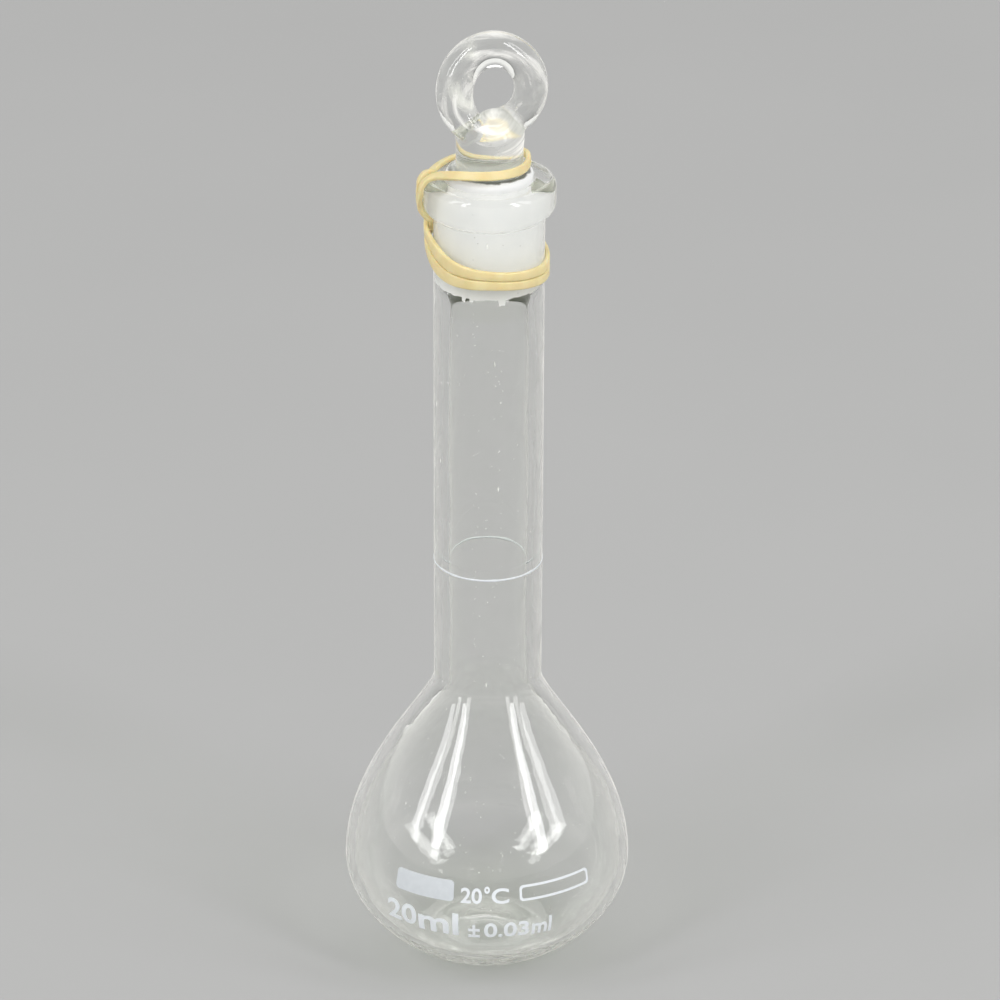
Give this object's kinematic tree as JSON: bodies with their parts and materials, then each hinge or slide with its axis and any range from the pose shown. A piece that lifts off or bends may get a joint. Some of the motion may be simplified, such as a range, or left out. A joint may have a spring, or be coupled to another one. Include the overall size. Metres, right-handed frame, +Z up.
{
  "type": "volumetric flask",
  "caption": "Small stoppered glass volumetric flask: pear-shaped bulb, long marked neck, ground socket with a thick collar, ring-handled stopper tied on by a rubber band.",
  "frame": {"origin": "middle of the foot, on the surface that the flask stands on", "axes": "+Z up the neck, -Y to the front, where the print is"},
  "size_m": [0.0356, 0.0356, 0.1226],
  "materials": {
    "clear_glass": "clear polished borosilicate glass",
    "ground_glass": "ground, matt white where the joint is, fire-polished outside",
    "enamel": "fired white enamel",
    "latex": "pale yellow latex, satin"
  },
  "bodies": {
    "flask": {"bulb": "clear_glass", "neck_tube": "clear_glass", "ground_socket": "ground_glass", "graduation_ring": "enamel", "writing_patch": "enamel", "band_neck_hitch": "latex"},
    "band_loop": {"band_stopper_loop": "latex"},
    "stopper": {"stopper_plug": "ground_glass", "stopper_stem": "clear_glass", "stopper_ring": "clear_glass"}
  },
  "joints": [
    {"name": "stopper_lift", "type": "slide", "parent": "flask", "child": "band_loop", "axis": [0, 0, 1], "range_m": [0, 0.02], "stiffness_N_per_m": 40, "springref_m": -0.01, "deforming": ["band_stopper_loop"]},
    {"name": "stopper_twist", "type": "hinge", "parent": "band_loop", "child": "stopper", "pos_m": [0, 0, 0.0985], "axis": [0, 0, 1], "continuous": true}
  ]
}
